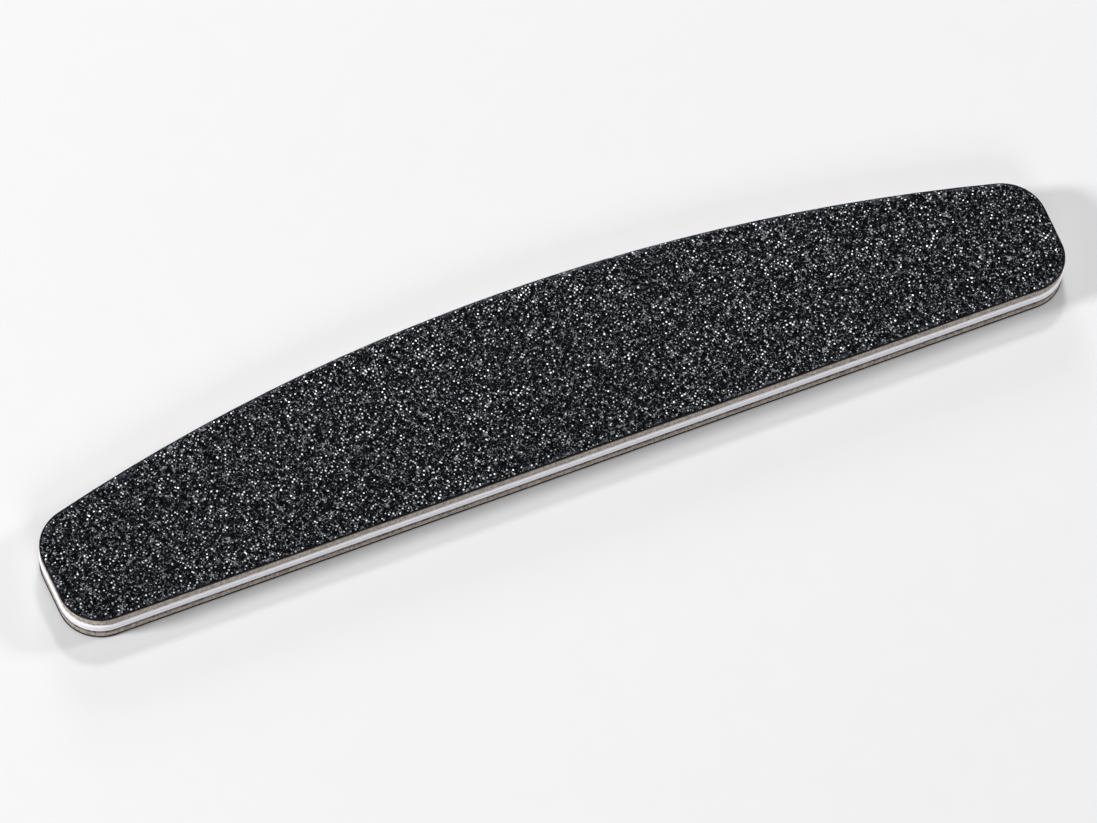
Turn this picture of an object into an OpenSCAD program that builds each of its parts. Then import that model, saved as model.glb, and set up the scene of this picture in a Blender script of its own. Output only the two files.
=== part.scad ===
// Half-moon emery board: a die-cut stack of glued plies.
// A stiff white core board carries a foam ply on each side, and each foam
// ply carries a sheet of coated abrasive paper. The stack is the same above
// and below the middle of the core, so either face can be used.
// The board lies flat on its lower abrasive face. X runs along the
// straight edge, Y from the straight edge to the arch, and Z is up.

/* [Outline] */
// Overall length, measured over the two rounded ends
file_length = 178; // [120:1:200]
// Width from the straight edge to the top of the arch, at mid length
file_width = 32.5; // [27:0.5:45]
// Radius of the arched edge
arch_radius = 317; // [240:1:600]
// Outward lean of each short end, in degrees
end_lean = 1.6; // [0:0.1:6]
// Radius of the corners beside the straight edge
straight_corner_r = 7; // [3:0.1:9]
// Radius of the corners beside the arch
arch_corner_r = 7.5; // [3:0.1:9]

/* [Plies] */
// Thickness of the white core board
core_t = 1.6; // [0.5:0.05:4]
// Thickness of the adhesive film on each side of the core
core_film_t = 0.06; // [0.03:0.01:0.2]
// Thickness of each foam ply
foam_t = 1.85; // [0.5:0.05:4]
// Thickness of the adhesive film under each backing paper
face_film_t = 0.05; // [0.03:0.01:0.2]
// Thickness of each sheet of backing paper
paper_t = 0.14; // [0.1:0.01:0.5]
// Thickness of the resin coat that bonds the grit to the paper
bond_t = 0.06; // [0.03:0.01:0.2]
// Height of the grit above the resin, up to the tips of its grains
grit_t = 0.24; // [0.05:0.01:0.5]

/* [Cut edge] */
// How far the foam springs back behind the edge of the core
foam_setback = 0.2; // [0:0.01:0.5]
// How far the adhesive films stand behind the edge of the core
film_setback = 0.3; // [0:0.01:0.5]
// How far the edge of the paper stands behind the edge of the core
paper_setback = 0.04; // [0:0.01:0.5]
// How far the grit and its resin stop short of the edge of the paper
grit_margin = 0.1; // [0:0.01:0.5]

/* [Hidden] */
$fn = 180;

UPPER = 1;
LOWER = -1;
// The corner circles stand this far proud of the sides they join, so that
// each pair of them always meets in one clean edge
corner_proud = 0.001;

// Levels of the plies, counted outwards from the middle of the core
core_film_level = core_t / 2;
foam_level = core_film_level + core_film_t;
face_film_level = foam_level + foam_t;
paper_level = face_film_level + face_film_t;
bond_level = paper_level + paper_t;
grit_level = bond_level + bond_t;
middle_z = grit_level + grit_t;
grit_setback = paper_setback + grit_margin;

// Centres of the arcs that make the outline, with the straight edge on y = 0
arch_centre_y = file_width - arch_radius;
arch_corner_x = file_length / 2 - arch_corner_r;
arch_corner_y = arch_centre_y + sqrt(pow(arch_radius - arch_corner_r, 2) - pow(arch_corner_x, 2));
arch_corner = [arch_corner_x, arch_corner_y];
// Distance of a leaning end from the origin, along its outward normal
end_normal = [cos(end_lean), -sin(end_lean)];
end_reach = arch_corner * end_normal + arch_corner_r;
straight_corner_y = straight_corner_r;
straight_corner_x = (end_reach - straight_corner_r - straight_corner_y * end_normal.y) / end_normal.x;
straight_corner = [straight_corner_x, straight_corner_y];
// Direction from the arch's centre to the centre of the corner beside it
arch_end_way = [arch_corner_x, arch_corner_y - arch_centre_y] / (arch_radius - arch_corner_r);

function mirrored(points) = [for (i = [len(points) - 1:-1:0]) [-points[i].x, points[i].y]];

// The half-moon outline, drawn in by setback all round
module half_moon(setback) {
    side_setback = setback + corner_proud;
    straight_r = straight_corner_r - side_setback;
    arch_end_r = arch_corner_r - side_setback;
    arch_end = arch_corner + arch_end_r * arch_end_way;
    right_side = [
        straight_corner - [0, straight_r],
        straight_corner + straight_r * end_normal,
        arch_corner + arch_end_r * end_normal,
        arch_end,
    ];
    polygon(concat(right_side, mirrored(right_side)));
    // the arch bulges above the chord between its two ends
    intersection() {
        translate([0, arch_centre_y]) circle(r = arch_radius - side_setback, $fn = 1440);
        translate([-arch_end.x, arch_end.y]) square([2 * arch_end.x, file_width]);
    }
    for (side = [-1, 1]) {
        translate([side * straight_corner.x, straight_corner.y])
            circle(r = straight_corner_r - setback);
        translate([side * arch_corner.x, arch_corner.y]) circle(r = arch_corner_r - setback);
    }
}

// One flat ply, from its level outwards, on the upper or the lower side
module ply(side, level, thickness, setback) {
    bottom = side == UPPER ? middle_z + level : middle_z - level - thickness;
    translate([0, -file_width / 2, bottom])
        linear_extrude(height = thickness) half_moon(setback);
}

module core_board() {
    color("white") ply(LOWER, -core_t / 2, core_t, 0);
}

module core_film(side) {
    color([0.78, 0.76, 0.70]) ply(side, core_film_level, core_film_t, film_setback);
}

module foam_ply(side) {
    color([0.50, 0.46, 0.42]) ply(side, foam_level, foam_t, foam_setback);
}

module face_film(side) {
    color([0.30, 0.28, 0.26]) ply(side, face_film_level, face_film_t, film_setback);
}

module backing_paper(side) {
    color([0.10, 0.10, 0.11]) ply(side, paper_level, paper_t, paper_setback);
}

module bond_coat(side) {
    color([0.04, 0.04, 0.05]) ply(side, bond_level, bond_t, grit_setback);
}

module grit(side) {
    color([0.16, 0.16, 0.18]) ply(side, grit_level, grit_t, grit_setback);
}

core_board();
core_film(UPPER);  // upper_core_film
foam_ply(UPPER);  // upper_foam_ply
face_film(UPPER);  // upper_face_film
backing_paper(UPPER);  // upper_backing_paper
bond_coat(UPPER);  // upper_bond_coat
grit(UPPER);  // upper_grit
core_film(LOWER);  // lower_core_film
foam_ply(LOWER);  // lower_foam_ply
face_film(LOWER);  // lower_face_film
backing_paper(LOWER);  // lower_backing_paper
bond_coat(LOWER);  // lower_bond_coat
grit(LOWER);  // lower_grit
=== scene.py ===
# Looks of a half-moon emery board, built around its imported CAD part
import math

import bpy
from mathutils import Matrix, Vector


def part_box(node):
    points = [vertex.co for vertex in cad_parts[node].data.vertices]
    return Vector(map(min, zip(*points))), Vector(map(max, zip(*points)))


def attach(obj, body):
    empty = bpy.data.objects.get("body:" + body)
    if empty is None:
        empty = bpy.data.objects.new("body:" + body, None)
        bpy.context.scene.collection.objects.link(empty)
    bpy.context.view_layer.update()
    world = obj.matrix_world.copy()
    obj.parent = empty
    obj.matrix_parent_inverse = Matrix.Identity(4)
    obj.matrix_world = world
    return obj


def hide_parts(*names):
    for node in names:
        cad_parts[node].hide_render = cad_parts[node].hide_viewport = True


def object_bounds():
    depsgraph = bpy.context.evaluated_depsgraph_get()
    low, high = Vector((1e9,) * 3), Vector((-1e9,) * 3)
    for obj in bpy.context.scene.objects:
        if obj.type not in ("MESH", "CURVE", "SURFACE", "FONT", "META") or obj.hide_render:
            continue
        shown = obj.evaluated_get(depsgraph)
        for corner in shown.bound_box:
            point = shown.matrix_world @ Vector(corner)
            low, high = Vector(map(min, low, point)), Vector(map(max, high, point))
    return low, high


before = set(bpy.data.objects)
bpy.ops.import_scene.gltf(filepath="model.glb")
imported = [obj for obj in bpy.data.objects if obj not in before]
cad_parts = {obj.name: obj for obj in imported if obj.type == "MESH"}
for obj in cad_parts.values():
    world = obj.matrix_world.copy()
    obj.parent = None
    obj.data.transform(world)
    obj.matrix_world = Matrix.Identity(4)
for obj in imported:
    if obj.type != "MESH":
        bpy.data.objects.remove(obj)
cad_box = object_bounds()
scene = bpy.context.scene
scene.view_settings.view_transform = "Standard"

MM = 0.001
MIDDLE_LEVEL = (cad_box[0].z + cad_box[1].z) / 2

# Camera, from a fit to the board's edges in the photo
CAMERA_AT = Vector((-0.27849, -0.52808, 1.07090))
CAMERA_RIGHT = Vector((0.91841, -0.39298, 0.04563))
CAMERA_AHEAD = Vector((0.22661, 0.42801, -0.87491))
CAMERA_LENS = 245.525
SENSOR_WIDTH = 36.0
NEAREST_SEEN = 0.01

# Light on a level face, as a share of the level at which white renders white
FILL_LEVEL = 0.18
# Lamps: name, direction, width in metres, light on a face turned towards it, as such a share
LAMPS = [
    ("left_lamp", (-0.87, 0.12, 0.48), 0.20, 0.75),
    ("right_lamp", (0.85, -0.10, 0.50), 0.20, 0.30),
    ("back_lamp", (0.25, 0.55, 0.80), 0.16, 0.26),
    ("low_back_lamp", (0.22, 0.91, 0.35), 0.35, 0.25),
    ("front_lamp", (-0.15, -0.85, 0.50), 0.40, 0.26),
]
LAMP_DISTANCE = 1.2
FLOOR_SIZE = 6.0

# Grit bed: distance from one grain, spot or fold to the next, in metres
GRAIN_PITCH = 0.58 * MM
CHIP_PITCH = 0.36 * MM
FINE_GLINT_PITCH = 0.25 * MM
ISLAND_PITCH = 1.1 * MM
CLUMP_PITCH = 2.1 * MM
FOLD_PITCH = 1.2 * MM
CREASE_PITCH = 0.62 * MM
FINE_PITCH = 0.30 * MM
HAZE_PITCH = 1.1 * MM
DRIFT_PITCH = 0.85 * MM

# Grit bed: how far grains drift, cells of the mesh, its smooth rim and the bump, in metres
GRAIN_DRIFT = 0.25 * MM
GRIT_CELL = 0.227 * MM
RIM_WIDTH = 0.9 * MM
RIM_FALL = 0.35 * MM
GRAIN_BUMP = 0.24 * MM

# Grit bed: least and greatest radius of a spot, a painted glint, where less than 0 is no spot, in
# pitches, as are a grain's radius, a spot's soft edge and the two sides of an island's shore
TIP_RADII = (0.0, 0.31)
CHIP_RADII = (-0.12, 0.28)
FINE_GLINT_RADII = (-0.2, 0.32)
DOME_RADIUS = 0.66
SPOT_EDGE = 0.05
ISLAND_SHORE = (0.2, 0.55)
# Folds: how far the noise may be from its middle on one, and where it breaks them off
FOLD_WIDTH = 0.024
CREASE_WIDTH = 0.035
FOLD_BREAKS = (0.48, 0.6)

# Grit bed: lots that go from the dullest to the brightest spot (a painted glint), and how bright
# those two are
SPOT_LOTS = (0.28, 0.8)
SPOT_LIGHTS = (0.08, 1.0)
# Brightness of painted glints on tips and chips in the middle of a dark island and beyond it, and
# of the rest
TIP_LIGHTS = (0.35, 1.0)
CHIP_LIGHTS = (0.1, 0.36)
FINE_GLINT_LIGHT = 0.06
FOLD_GLINT = 0.3
CREASE_GLINT = 0.02

# Grit bed: heights as shares of the bed's thickness
GRAIN_HEIGHTS = (0.4, 0.8)
CLUMP_HEIGHTS = (0.8, 1.0)
FOLD_HEIGHT = 0.2
CREASE_HEIGHT = 0.08
FINE_HEIGHT = 0.2
GROUND_HEIGHT = 0.04
LEAST_HEIGHT = 0.02

# Grit bed's rim, in shares of RIM_WIDTH from the edge: where the painted glints come in, where the
# painted sheen (paler bluish-grey patches) starts and ends, and where the resin's gloss ends
GLINTS_START = (0.1, 0.25)
SHEEN_START = (0.15, 0.4)
SHEEN_END = (0.5, 1.0)
SHEEN_PATCHES = (0.48, 0.64)
GLOSS_END = (0.2, 0.4)

# Turns of the grit's patterns in degrees, so that none lines up with the board
BED_TURN, CHIP_TURN, FINE_GLINT_TURN = 55, 28, -17
# How loosely cells lie, from 0 in rows to 1 anywhere
CELL_LOOSENESS = 0.85

# Cut edges, in metres
CORE_BEVEL = 0.18 * MM
UPPER_SWELL = 0.12 * MM
UPPER_GROOVE = 0.22 * MM
LOWER_SWELL = 0.05 * MM
LOWER_GROOVE = 0.12 * MM
FOAM_REACH = 0.8 * MM
FOAM_WANDER = 0.05 * MM
FOAM_STEP = 1.2 * MM
PIT_PITCH = 0.45 * MM
WANDER_PITCH = 2.2 * MM
PORE_PITCH = 0.42 * MM
# Foam pores: how far they are squashed, their radii and their soft edge in pitches
FOAM_SQUASH = (1.0, 1.0, 0.6)
PORE_RADII = (0.15, 0.85)
PORE_EDGE = 0.15
# Levels of a foam ply's wall, and how much they crowd towards the core
FOAM_LEVELS = 8
FOAM_CROWDING = 1.3

# Heights above the middle level between which a painted shadow, painted shade or a painted
# highlight comes in or goes out, in metres
SHADOW_FOOT = (-2.0 * MM, -1.4 * MM)
SHADOW_HEAD = (-0.8 * MM, 0.0)
SHADE_BESIDE_CORE = (0.85 * MM, 1.5 * MM)
CORE_HIGHLIGHT_BAND = (0.5 * MM, 0.66 * MM)

# Merging a CAD node's triangles: distance of doubles, and degrees that count as flat
DOUBLES = 0.002 * MM
FLAT_ANGLE = 0.5
# Difference in height within which an edge counts as level
LEVEL = 0.01 * MM

# Angles in degrees above which an edge is eased, or is shown sharp
EASED_ANGLE = 40
SHARP_CORE, SHARP_FOAM, SHARP_GRIT = 35, 50, 75

# Where the values of a noise mostly lie, and taken more widely
MID_NOISE = (0.35, 0.65)
WIDE_NOISE = (0.3, 0.7)


def shade(red, green, blue):
    """A colour given as 0 to 255 screen values, made linear for a shader."""
    def linear(value):
        value /= 255
        return value / 12.92 if value <= 0.04045 else ((value + 0.055) / 1.055) ** 2.4
    return (linear(red), linear(green), linear(blue), 1.0)


# Colours of the plies and the floor
GRIT_BLACK = shade(1, 1, 2)
GRIT_HAZE = shade(17, 19, 24)
# painted shade in the gaps between grains
GRIT_GAP_SHADE = shade(1, 1, 1)
# painted sheen inside the rim, a paler bluish-grey
GRIT_RIM_SHEEN = shade(66, 70, 80)
# painted glints, partly the bright facets that silicon carbide grains have
GRIT_GLINT = shade(246, 249, 255)
RESIN_DARK, RESIN_PALE = shade(12, 12, 13), shade(24, 24, 26)
PAPER_DARK, PAPER_PALE = shade(12, 12, 13), shade(30, 30, 31)
FOAM_DARK, FOAM_PALE = shade(133, 121, 112), shade(206, 195, 186)
# painted shade on the foam beside the core
FOAM_SHADED = shade(112, 99, 92)
FOAM_SHADOW = shade(78, 68, 62)
FOAM_PORE = shade(52, 42, 38)
CORE_DULL, CORE_PALE = shade(220, 221, 231), shade(233, 234, 242)
CORE_NICK = shade(214, 215, 226)
# painted highlight along the core's cut edges
CORE_EDGE_HIGHLIGHT = shade(254, 252, 255)
FILM_DARK, FILM_PALE = shade(120, 112, 104), shade(160, 150, 140)
FLOOR_DULL, FLOOR_PALE = shade(232, 232, 233), shade(234, 234, 235)


# Nodes

class Wire:
    """A socket of a node tree. Arithmetic on wires adds Math nodes."""

    def __init__(self, tree, socket=None):
        self.tree = tree
        self.socket = socket

    def node(self, kind, settings=None, inputs=None, output=0):
        """Adds a node, sets it, fills its inputs by name or number, and gives back one output."""
        made = self.tree.nodes.new(kind)
        for name, value in (settings or {}).items():
            setattr(made, name, value)
        for name, value in (inputs or {}).items():
            if isinstance(value, Wire):
                self.tree.links.new(value.socket, made.inputs[name])
            else:
                made.inputs[name].default_value = value
        return Wire(self.tree, made.outputs[output]) if len(made.outputs) else made

    def maths(self, operation, *values):
        return self.node("ShaderNodeMath", {"operation": operation}, dict(enumerate(values)))

    def __add__(self, other):
        return self.maths("ADD", self, other)

    def __sub__(self, other):
        return self.maths("SUBTRACT", self, other)

    def __rsub__(self, other):
        return self.maths("SUBTRACT", other, self)

    def __mul__(self, other):
        return self.maths("MULTIPLY", self, other)

    def __truediv__(self, other):
        return self.maths("DIVIDE", self, other)

    def __pow__(self, other):
        return self.maths("POWER", self, other)

    __radd__ = __add__
    __rmul__ = __mul__

    def size(self):
        return self.maths("ABSOLUTE", self)

    def at_least(self, other):
        return self.maths("MAXIMUM", self, other)

    def at_most(self, other):
        return self.maths("MINIMUM", self, other)

    def ramp(self, low, high, start=0.0, end=1.0):
        """Goes evenly from start to end as this goes from low to high, and stays there."""
        return self.node("ShaderNodeMapRange", {"clamp": True},
                         {0: self, 1: low, 2: high, 3: start, 4: end})

    def part(self, axis):
        return self.node("ShaderNodeSeparateXYZ", None, {0: self}, axis)

    def scaled(self, by):
        return self.node("ShaderNodeVectorMath", {"operation": "MULTIPLY"}, {0: self, 1: by})

    def moved(self, other):
        return self.node("ShaderNodeVectorMath", {"operation": "ADD"}, {0: self, 1: other})

    def stretched(self, length):
        """This vector times one number, which may be a wire."""
        return self.node("ShaderNodeVectorMath", {"operation": "SCALE"},
                         {0: self, "Scale": length})

    def turned(self, degrees):
        """A place turned about the upright axis."""
        return self.node("ShaderNodeVectorRotate", {"rotation_type": "Z_AXIS"},
                         {"Vector": self, "Angle": math.radians(degrees)})

    def noise(self, pitch, detail=2.0, roughness=0.5, output=0):
        return self.node("ShaderNodeTexNoise", None, {
            "Vector": self, "Scale": 1 / pitch, "Detail": detail, "Roughness": roughness,
        }, output)

    def cells(self, pitch, output=0, dimensions="3D"):
        return self.node("ShaderNodeTexVoronoi", {"voronoi_dimensions": dimensions}, {
            "Vector": self, "Scale": 1 / pitch, "Randomness": CELL_LOOSENESS,
        }, output)

    def mix(self, first, second):
        """A colour that goes from first to second as this goes from 0 to 1."""
        return self.node("ShaderNodeMix", {"data_type": "RGBA"}, {0: self, 6: first, 7: second}, 2)


def new_material(name, paint):
    """A material whose Principled shader gets the inputs that paint(place) works out."""
    material = bpy.data.materials.new(name)
    material.use_nodes = True
    tree = material.node_tree
    tree.nodes.clear()
    start = Wire(tree)
    place = start.node("ShaderNodeTexCoord", None, None, "Object")
    shader = start.node("ShaderNodeBsdfPrincipled", None, paint(place))
    start.node("ShaderNodeOutputMaterial", None, {"Surface": shader})
    return material


def bump(height, strength=1.0):
    """The surface normal for a height in metres."""
    return height.node("ShaderNodeBump", None, {
        "Height": height, "Strength": strength, "Distance": 1.0,
    })


# The grit's pattern

def fold_lines(flat, pitch, width):
    """Thin winding crests, broken into short curved lengths."""
    swirl = flat.noise(pitch, 1.5)
    crest = (1 - (swirl - 0.5).size() / width).at_least(0.0)
    return crest * flat.noise(pitch * 1.1, 1.0).ramp(*FOLD_BREAKS)


def spots(flat, pitch, radii):
    """Round spots, one in a cell, each with a radius and a brightness of its own, made as painted
    glints.

    Gives back the distance to the cell's middle in pitches, the cell's three lots from 0 to 1,
    and the brightness of the spot.
    """
    reach = flat.cells(pitch, dimensions="2D")
    lots = flat.cells(pitch, output="Color", dimensions="2D")
    disc = (lots.part(1).ramp(0.0, 1.0, *radii) - reach).ramp(0.0, SPOT_EDGE)
    return reach, lots, disc * lots.part(2).ramp(*SPOT_LOTS, *SPOT_LIGHTS)


def grain_parts(place):
    """The grit seen from above: its height, the brightness of its painted glints, and its dark
    islands.

    The height goes from 0 in a gap to 1 on a tip. The painted glints, partly bright facets of the
    grains, are few and dull on a dark island, where the third value is 0 in the middle and 1
    beyond the shore. The same nodes shape the mesh and place the glints, so a grain's glint always
    sits on its tip.
    """
    flat = place.scaled((1.0, 1.0, 0.0)).turned(BED_TURN)
    drift = flat.noise(DRIFT_PITCH, 1.0, output="Color")
    drift = drift.moved((-0.5, -0.5, -0.5)).scaled((GRAIN_DRIFT, GRAIN_DRIFT, 0.0))
    bent = flat.moved(drift)
    reach, lots, tip = spots(bent, GRAIN_PITCH, TIP_RADII)
    shore = bent.cells(ISLAND_PITCH, dimensions="2D").ramp(*ISLAND_SHORE)
    tip = tip * shore.ramp(0.0, 0.6, *TIP_LIGHTS)
    chip = spots(bent.turned(CHIP_TURN), CHIP_PITCH, CHIP_RADII)[2]
    chip = chip * shore.ramp(0.0, 1.0, *CHIP_LIGHTS)
    fine_glint = spots(flat.turned(FINE_GLINT_TURN), FINE_GLINT_PITCH, FINE_GLINT_RADII)[2] * shore * FINE_GLINT_LIGHT
    dome = (1 - (reach / DOME_RADIUS) ** 2).at_least(0.0) ** 0.5
    clump = flat.noise(CLUMP_PITCH, 1.0).ramp(*MID_NOISE, *CLUMP_HEIGHTS)
    fold = fold_lines(flat, FOLD_PITCH, FOLD_WIDTH)
    crease = fold_lines(bent, CREASE_PITCH, CREASE_WIDTH)
    fine = flat.noise(FINE_PITCH, 2.0)
    height = dome * lots.part(0).ramp(0.0, 1.0, *GRAIN_HEIGHTS) * clump + fold * FOLD_HEIGHT
    height = height + crease * CREASE_HEIGHT + (fine - 0.5) * FINE_HEIGHT + GROUND_HEIGHT
    # painted glints along the folds and creases, standing in for highlights on the grains' rims
    line = (fold * FOLD_GLINT).at_least(crease * CREASE_GLINT)
    return height, tip.at_least(chip).at_least(fine_glint).at_least(line), shore


# Materials

def paint_grit(place):
    """Black grains in resin, with painted glints, painted shade in the gaps and a painted sheen
    inside the rim. The rim attribute is 0 at the sheet's edge and 1 at RIM_WIDTH.
    """
    height, glint, shore = grain_parts(place)
    rim = place.node("ShaderNodeAttribute", {"attribute_name": "rim"}, None, "Fac")
    glint = glint * rim.ramp(*GLINTS_START)
    haze = place.noise(HAZE_PITCH, 3.0)
    bed = (shore * haze.ramp(*MID_NOISE, 0.3, 1.0)).mix(GRIT_BLACK, GRIT_HAZE)
    # painted shade: darker where the bed is low, in the gaps between grains
    bed = height.ramp(0.0, 0.35, 0.8, 0.0).mix(bed, GRIT_GAP_SHADE)
    # painted sheen: a paler bluish-grey band in patches inside the rim, most on high places
    rim_sheen = rim.ramp(*SHEEN_START) * rim.ramp(*SHEEN_END, 1.0, 0.0) * haze.ramp(*SHEEN_PATCHES)
    bed = (rim_sheen * height.ramp(0.1, 0.5, 0.4, 1.0)).mix(bed, GRIT_RIM_SHEEN)
    return {
        # painted glints: pale, metallic and smoother than the bed, partly real bright facets
        "Base Color": glint.mix(bed, GRIT_GLINT),
        "Metallic": glint * 0.8,
        "Roughness": glint.ramp(0.0, 1.0, 0.45, 0.28),
        "Coat Weight": rim.ramp(*GLOSS_END, 0.6, 0.0),
        "Coat Roughness": 0.2,
        "Specular IOR Level": 0.02,
        "Normal": bump(height * GRAIN_BUMP * rim.ramp(0.0, RIM_FALL / RIM_WIDTH), 0.3),
    }


def paint_resin(place):
    ripple = place.noise(0.4 * MM, 2.0)
    return {
        "Base Color": ripple.mix(RESIN_DARK, RESIN_PALE),
        "Roughness": ripple.ramp(*WIDE_NOISE, 0.22, 0.4),
        "Normal": bump(ripple * (0.02 * MM)),
    }


def paint_paper(place):
    fibre = place.scaled((1.0, 1.0, 3.0)).noise(0.16 * MM, 3.0)
    return {
        "Base Color": fibre.ramp(0.35, 0.7).mix(PAPER_DARK, PAPER_PALE),
        "Roughness": fibre.ramp(*WIDE_NOISE, 0.6, 0.85),
        "Normal": bump(fibre * (0.02 * MM)),
    }


def above_middle(place):
    """Height above the board's middle level, in metres, and less than 0 under it."""
    return place.part(2) - MIDDLE_LEVEL


def paint_foam(place):
    """Taupe foam, darker with painted shade beside the core and a painted shadow under it,
    where its pores are also more open.
    """
    rise = above_middle(place)
    # painted shadow on the lower ply, under the core
    under_core = rise.ramp(*SHADOW_FOOT) * rise.ramp(*SHADOW_HEAD, 1.0, 0.0)
    # painted shade on both plies beside the core, and the painted shadow under it
    near_core = rise.size().ramp(*SHADE_BESIDE_CORE, 1.0, 0.15).at_least(under_core)
    squashed = place.scaled(FOAM_SQUASH)
    lot = squashed.cells(PORE_PITCH, output="Color").part(0)
    pore = (lot.ramp(0.0, 1.0, *PORE_RADII) - squashed.cells(PORE_PITCH)).ramp(0.0, PORE_EDGE)
    pore = pore * near_core.ramp(0.0, 1.0, 0.25, 0.9)
    speck = place.noise(0.26 * MM, 3.0, 0.7)
    pull = place.scaled((1.0, 1.0, 0.12)).noise(0.6 * MM, 2.0)
    tone = speck.ramp(*MID_NOISE, 0.0, 0.7) + pull.ramp(*WIDE_NOISE, 0.0, 0.3)
    base = tone.mix(FOAM_DARK, FOAM_PALE)
    # painted shade beside the core, then the painted shadow under it
    base = (near_core * 0.2).mix(base, FOAM_SHADED)
    base = (under_core * 0.8).mix(base, FOAM_SHADOW)
    return {
        "Base Color": pore.mix(base, FOAM_PORE),
        "Roughness": speck.ramp(*WIDE_NOISE, 0.8, 0.94),
        "Normal": bump((speck * 0.06 - pore * 0.06) * MM),
    }


def paint_core(place):
    """White board with faint shear marks, and a painted highlight along both edges of its cut."""
    edge_highlight = above_middle(place).size().ramp(*CORE_HIGHLIGHT_BAND)
    shear = place.scaled((1.0, 1.0, 6.0)).noise(1.1 * MM, 2.0)
    nick = place.scaled((1.0, 1.0, 0.2)).noise(0.3 * MM, 2.0)
    base = shear.ramp(*MID_NOISE).mix(CORE_DULL, CORE_PALE)
    base = nick.ramp(*WIDE_NOISE, 0.0, 0.3).mix(base, CORE_NICK)
    return {
        # painted highlight along both edges of the cut
        "Base Color": edge_highlight.mix(base, CORE_EDGE_HIGHLIGHT),
        "Roughness": shear.ramp(*WIDE_NOISE, 0.3, 0.45),
        "Normal": bump((shear * 0.03 + nick * 0.006) * MM),
    }


def paint_film(place):
    streak = place.scaled((1.0, 1.0, 0.2)).noise(0.5 * MM, 2.0)
    return {"Base Color": streak.mix(FILM_DARK, FILM_PALE), "Roughness": 0.6}


def paint_floor(place):
    grain = place.noise(6.0 * MM, 2.0)
    return {"Base Color": grain.mix(FLOOR_DULL, FLOOR_PALE), "Roughness": 0.7}


# Tools for objects and meshes

def only(piece):
    """Makes piece the only selected object, and the active one."""
    bpy.ops.object.select_all(action="DESELECT")
    piece.select_set(True)
    bpy.context.view_layer.objects.active = piece


def free_copy(source, name):
    """A copy of an object with its own mesh, on no body and with none of the source's marks."""
    piece = source.copy()
    piece.data = piece.data.copy()
    piece.name = piece.data.name = name
    piece.parent = None
    for key in list(piece.keys()):
        del piece[key]
    scene.collection.objects.link(piece)
    only(piece)
    return piece


def copy_of(node, name):
    """A free copy of a CAD node with its triangles merged into whole faces."""
    piece = free_copy(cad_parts[node], name)
    bpy.ops.object.mode_set(mode="EDIT")
    bpy.ops.mesh.select_all(action="SELECT")
    bpy.ops.mesh.remove_doubles(threshold=DOUBLES)
    bpy.ops.mesh.dissolve_limited(angle_limit=math.radians(FLAT_ANGLE))
    bpy.ops.object.mode_set(mode="OBJECT")
    return piece


def cut_across(point, normal, **choices):
    """Cuts the mesh in edit mode by a plane."""
    bpy.ops.mesh.select_all(action="SELECT")
    bpy.ops.mesh.bisect(plane_co=point, plane_no=normal, **choices)


def shade_by_angle(sharp_angle):
    bpy.ops.object.shade_smooth_by_angle(angle=math.radians(sharp_angle))


def finish_piece(piece, material, node):
    """Gives the piece its finish and puts it in the place of a CAD node."""
    piece.data.materials.clear()
    piece.data.materials.append(material)
    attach(piece, "root")
    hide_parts(node)


def add_relief(piece, group, work_out, rim_width=0.0):
    """Moves each vertex of the piece by the offset that work_out(place) gives, and applies it.

    With a rim_width, the distance from the sheet's own edge is kept as an attribute named rim,
    which is 1 from that width on, and the offset fades to nothing at the edge over RIM_FALL.
    """
    group.interface.new_socket("Geometry", in_out="INPUT", socket_type="NodeSocketGeometry")
    group.interface.new_socket("Geometry", in_out="OUTPUT", socket_type="NodeSocketGeometry")
    start = Wire(group)
    shape = start.node("NodeGroupInput")
    place = start.node("GeometryNodeInputPosition")
    offset = work_out(place)
    if rim_width:
        sides = start.node("GeometryNodeInputMeshEdgeNeighbors")
        border = start.node("GeometryNodeSeparateGeometry", {"domain": "EDGE"}, {
            "Geometry": shape, "Selection": sides.maths("COMPARE", sides, 1.0, 0.1),
        })
        rim = start.node("GeometryNodeProximity", {"target_element": "EDGES"},
                         {0: border}, "Distance").ramp(0.0, rim_width)
        offset = offset.stretched(rim.ramp(0.0, RIM_FALL / rim_width))
        shape = start.node("GeometryNodeStoreNamedAttribute", None,
                           {"Geometry": shape, "Name": "rim", "Value": rim})
    moved = start.node("GeometryNodeSetPosition", None, {"Geometry": shape, "Offset": offset})
    start.node("NodeGroupOutput", None, {0: moved})
    only(piece)
    modifier = piece.modifiers.new("relief", "NODES")
    modifier.node_group = group
    bpy.ops.object.modifier_apply(modifier=modifier.name)


# The core

def build_core(material):
    """The core board, with its sheared edges eased a little."""
    piece = copy_of("core_board", "core_board_sheared")
    ease = piece.modifiers.new("ease", "BEVEL")
    ease.width = CORE_BEVEL
    ease.segments = 3
    ease.limit_method = "ANGLE"
    ease.angle_limit = math.radians(EASED_ANGLE)
    bpy.ops.object.modifier_apply(modifier=ease.name)
    shade_by_angle(SHARP_CORE)
    finish_piece(piece, material, "core_board")


# The foam plies

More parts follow.
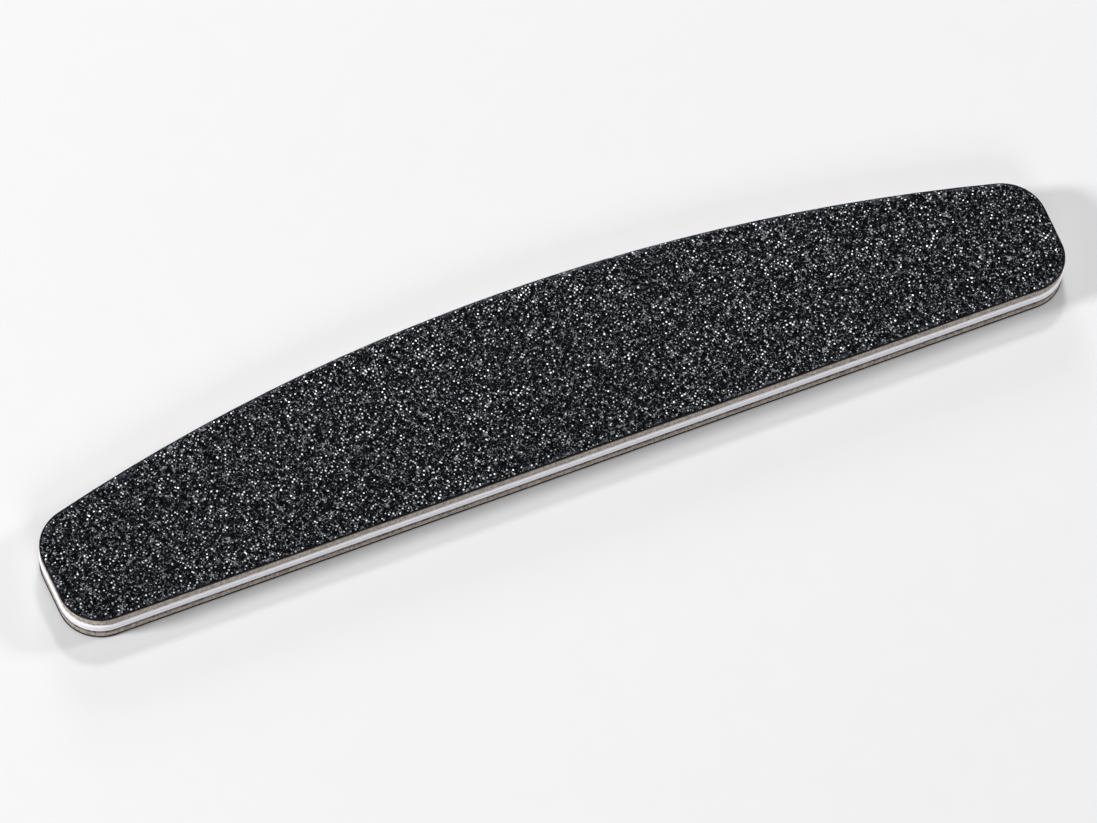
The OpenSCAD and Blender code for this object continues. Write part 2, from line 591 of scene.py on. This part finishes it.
def split_level_edges(piece):
    """Cuts each level edge of the wall in three, so that the wall can be pitted."""
    bpy.ops.object.mode_set(mode="EDIT")
    bpy.ops.mesh.select_mode(type="EDGE")
    bpy.ops.mesh.select_all(action="DESELECT")
    bpy.ops.object.mode_set(mode="OBJECT")
    corners = piece.data.vertices
    for edge in piece.data.edges:
        start, end = (corners[index].co for index in edge.vertices)
        level = abs(start.z - end.z) < LEVEL
        edge.select = level and (start - end).length < 1.5 * FOAM_STEP
    bpy.ops.object.mode_set(mode="EDIT")
    bpy.ops.mesh.subdivide(number_cuts=2)
    bpy.ops.object.mode_set(mode="OBJECT")


def foam_offset(place, foot, swell, groove):
    """Lets the wall swell out a little, and draws it in beside the core, where it is pitted."""
    near = (place.part(2) - foot).size().ramp(0.0, FOAM_REACH, 1.0, 0.0)
    pits = place.scaled(FOAM_SQUASH).noise(PIT_PITCH, 1.0).ramp(*WIDE_NOISE, 0.45, 1.3)
    out = swell - near * near * pits * groove - place.noise(WANDER_PITCH, 2.0) * FOAM_WANDER
    level = place.node("GeometryNodeInputNormal").scaled((1.0, 1.0, 0.0))
    outward = level.node("ShaderNodeVectorMath", {"operation": "NORMALIZE"}, {0: level})
    return outward.stretched(out)


def build_foam(node, foot, head, swell, groove, material):
    """A foam ply from its foot, the level where it meets the core, to its head at the paper."""
    piece = copy_of(node, node + "_cut")
    low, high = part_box(node)
    bpy.ops.object.mode_set(mode="EDIT")
    for level in range(1, FOAM_LEVELS):
        height = foot + (head - foot) * (level / FOAM_LEVELS) ** FOAM_CROWDING
        cut_across((0, 0, height), (0, 0, 1))
    steps = round((high.x - low.x) / FOAM_STEP)
    for step in range(1, steps):
        across = low.x + (high.x - low.x) * step / steps
        cut_across((across, 0, 0), (1, 0, 0))
    bpy.ops.object.mode_set(mode="OBJECT")
    split_level_edges(piece)
    relief = bpy.data.node_groups.new(node + " relief", "GeometryNodeTree")
    add_relief(piece, relief, lambda place: foam_offset(place, foot, swell, groove))
    shade_by_angle(SHARP_FOAM)
    finish_piece(piece, material, node)


# The grit beds

def grit_offset(place, thickness):
    height = grain_parts(place)[0].at_least(LEAST_HEIGHT).at_most(1.0)
    return place.node("ShaderNodeCombineXYZ", None, {2: height * thickness})


def wall_planes(node):
    """A point and the outward normal of each upright face of a CAD node."""
    planes = {}
    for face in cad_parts[node].data.polygons:
        if abs(face.normal.z) < 0.5:
            key = (round(face.normal.x, 4), round(face.normal.y, 4))
            planes[key] = (face.center.copy(), face.normal.copy())
    return list(planes.values())


def close_below(level):
    """Draws the open edge of the active sheet down to a level and closes the sheet there."""
    bpy.ops.object.mode_set(mode="EDIT")
    bpy.ops.mesh.select_mode(type="EDGE")
    bpy.ops.mesh.select_all(action="DESELECT")
    bpy.ops.mesh.select_non_manifold(extend=False, use_wire=False, use_multi_face=False,
                                     use_non_contiguous=False, use_verts=False)
    bpy.ops.mesh.extrude_edges_move()
    bpy.ops.transform.resize(value=(1.0, 1.0, 0.0), center_override=(0, 0, level))
    bpy.ops.mesh.edge_face_add()
    bpy.ops.mesh.select_all(action="SELECT")
    bpy.ops.mesh.normals_make_consistent(inside=False)
    bpy.ops.object.mode_set(mode="OBJECT")


def build_grit(material):
    """The bed of grains: a fine sheet cut to the outline, raised into grains and closed below."""
    node = "upper_grit"
    low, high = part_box(node)
    deep, wide = high.y - low.y, high.x - low.x
    middle = (0, (low.y + high.y) / 2, low.z)
    bpy.ops.object.select_all(action="DESELECT")
    bpy.ops.mesh.primitive_grid_add(
        x_subdivisions=round(wide / GRIT_CELL), y_subdivisions=round(deep / GRIT_CELL),
        size=1.0, location=middle)
    piece = bpy.context.active_object
    piece.name = piece.data.name = node + "_grains"
    only(piece)
    bpy.ops.object.mode_set(mode="EDIT")
    bpy.ops.transform.resize(value=(wide, deep, 1.0), center_override=middle)
    for point, normal in wall_planes(node):
        cut_across(point, normal, clear_outer=True)
    bpy.ops.object.mode_set(mode="OBJECT")
    bpy.ops.object.transform_apply(location=True, rotation=True, scale=True)
    relief = bpy.data.node_groups.new("grit relief", "GeometryNodeTree")
    add_relief(piece, relief, lambda place: grit_offset(place, high.z - low.z), RIM_WIDTH)
    close_below(low.z)
    shade_by_angle(SHARP_GRIT)
    finish_piece(piece, material, node)
    return piece


def turn_over(piece, name, node, material):
    """Puts a copy of a piece, mirrored through the board's middle level, in a node's place."""
    other = free_copy(piece, name)
    bpy.ops.object.mode_set(mode="EDIT")
    bpy.ops.mesh.select_all(action="SELECT")
    bpy.ops.transform.resize(value=(1.0, 1.0, -1.0), center_override=(0, 0, MIDDLE_LEVEL))
    bpy.ops.mesh.normals_make_consistent(inside=False)
    bpy.ops.object.mode_set(mode="OBJECT")
    finish_piece(other, material, node)


# Papers, resin coats and films keep their CAD shape

def dress(node, material):
    """Gives a CAD node that keeps its shape its own finish."""
    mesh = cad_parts[node].data
    mesh.materials.clear()
    mesh.materials.append(material)


# Camera, floor and light

def add_camera():
    camera = bpy.data.objects.new("camera", bpy.data.cameras.new("camera"))
    scene.collection.objects.link(camera)
    right = CAMERA_RIGHT.normalized()
    back = -CAMERA_AHEAD.normalized()
    up = back.cross(right).normalized()
    turn = Matrix((right, up, back)).transposed()
    camera.matrix_world = Matrix.Translation(CAMERA_AT) @ turn.to_4x4()
    camera.data.lens = CAMERA_LENS
    camera.data.sensor_width = SENSOR_WIDTH
    camera.data.clip_start = NEAREST_SEEN
    scene.camera = camera


def add_floor(material):
    bpy.ops.object.select_all(action="DESELECT")
    bpy.ops.mesh.primitive_grid_add(x_subdivisions=8, y_subdivisions=8, size=FLOOR_SIZE)
    floor = bpy.context.active_object
    floor.name = "floor"
    floor.data.materials.append(material)


def add_world():
    """The same white light all round, as the soft fill of a studio."""
    world = bpy.data.worlds.new("studio")
    world.use_nodes = True
    scene.world = world
    tree = world.node_tree
    tree.nodes.clear()
    start = Wire(tree)
    backdrop = start.node("ShaderNodeBackground", None, {
        "Color": (1.0, 1.0, 1.0, 1.0), "Strength": FILL_LEVEL,
    })
    start.node("ShaderNodeOutputWorld", None, {"Surface": backdrop})


def add_lamps():
    for name, direction, width, share in LAMPS:
        place = Vector(direction).normalized() * LAMP_DISTANCE
        lamp = bpy.data.lights.new(name, "AREA")
        lamp.size = width
        lamp.energy = share * (math.pi * LAMP_DISTANCE) ** 2
        holder = bpy.data.objects.new(name, lamp)
        holder.location = place
        holder.rotation_euler = (-place).to_track_quat("-Z", "Y").to_euler()
        scene.collection.objects.link(holder)


def main():
    add_camera()
    grit = new_material("black silicon carbide grit", paint_grit)
    foam = new_material("taupe foam", paint_foam)
    core = new_material("white core board", paint_core)
    resin = new_material("black resin", paint_resin)
    paper = new_material("black backing paper", paint_paper)
    film = new_material("adhesive film", paint_film)
    build_core(core)
    low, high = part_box("upper_foam_ply")
    build_foam("upper_foam_ply", low.z, high.z, UPPER_SWELL, UPPER_GROOVE, foam)
    low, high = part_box("lower_foam_ply")
    build_foam("lower_foam_ply", high.z, low.z, LOWER_SWELL, LOWER_GROOVE, foam)
    turn_over(build_grit(grit), "lower_grit_grains", "lower_grit", grit)
    for side in ("upper", "lower"):
        dress(side + "_bond_coat", resin)
        dress(side + "_backing_paper", paper)
        dress(side + "_core_film", film)
        dress(side + "_face_film", film)
    add_floor(new_material("pale floor", paint_floor))
    add_world()
    add_lamps()


main()
